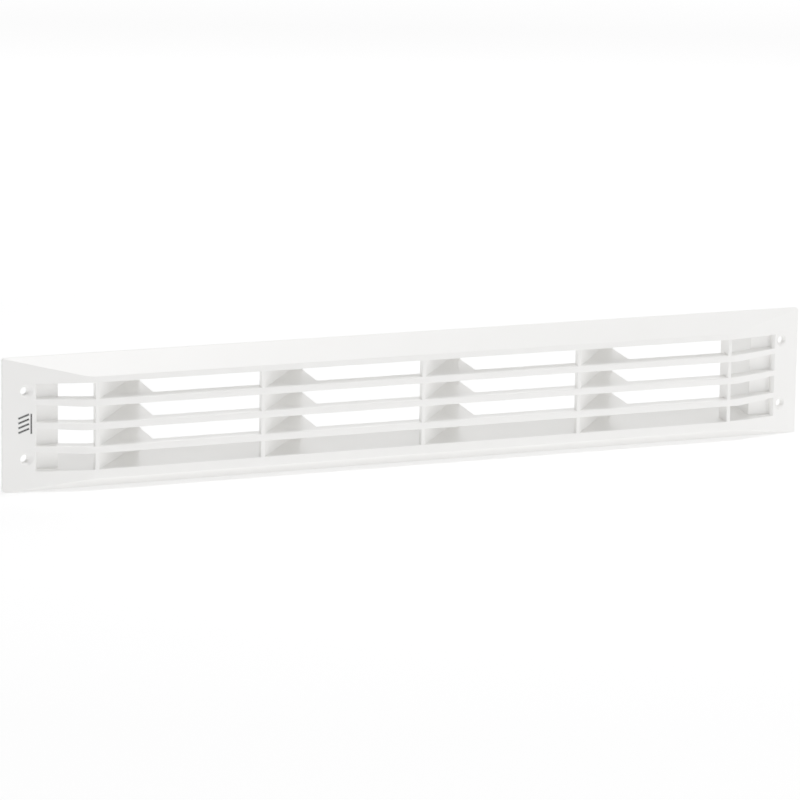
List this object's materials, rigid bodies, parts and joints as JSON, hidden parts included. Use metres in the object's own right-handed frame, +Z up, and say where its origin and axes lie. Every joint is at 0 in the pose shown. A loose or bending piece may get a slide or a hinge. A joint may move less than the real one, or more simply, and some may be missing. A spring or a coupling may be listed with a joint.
{
  "type": "louvred air grille",
  "caption": "Long white plastic wall air grille with sloped ends, fixed sloping louvre blades, angled deflector vanes, a drain tray and a rear collar for a wall cut-out.",
  "frame": {"origin": "centre of the wall plane that the back of the cover rests on", "axes": "+X along the grille to the right as seen from the room, +Y into the wall, +Z up"},
  "size_m": [0.412, 0.029, 0.062],
  "materials": {
    "cover": "slightly warm white moulded plastic, semi-gloss",
    "blade": "slightly warm white moulded plastic, semi-gloss",
    "deflector": "slightly warm white moulded plastic, semi-gloss",
    "shelf": "slightly warm white moulded plastic, semi-gloss",
    "tray": "slightly warm white moulded plastic, semi-gloss",
    "frame": "slightly warm white moulded plastic, semi-gloss",
    "collar": "slightly warm white moulded plastic, semi-gloss"
  },
  "bodies": {
    "root": {"cover_shell": "cover", "louvre_blade_top": "blade", "louvre_blade_middle": "blade", "louvre_blade_bottom": "blade", "deflector_1": "deflector", "deflector_2": "deflector", "deflector_3": "deflector", "deflector_4": "deflector", "end_divider": "deflector", "drip_shelf_top_1": "shelf", "drip_shelf_top_2": "shelf", "drip_shelf_top_3": "shelf", "drip_shelf_top_4": "shelf", "drip_shelf_middle_1": "shelf", "drip_shelf_middle_2": "shelf", "drip_shelf_middle_3": "shelf", "drip_shelf_middle_4": "shelf", "drip_shelf_bottom_1": "shelf", "drip_shelf_bottom_2": "shelf", "drip_shelf_bottom_3": "shelf", "drip_shelf_bottom_4": "shelf", "drain_tray": "tray", "rear_frame": "frame", "collar_top": "collar", "collar_bottom": "collar", "collar_end_left": "collar", "collar_end_right": "collar"}
  },
  "joints": []
}
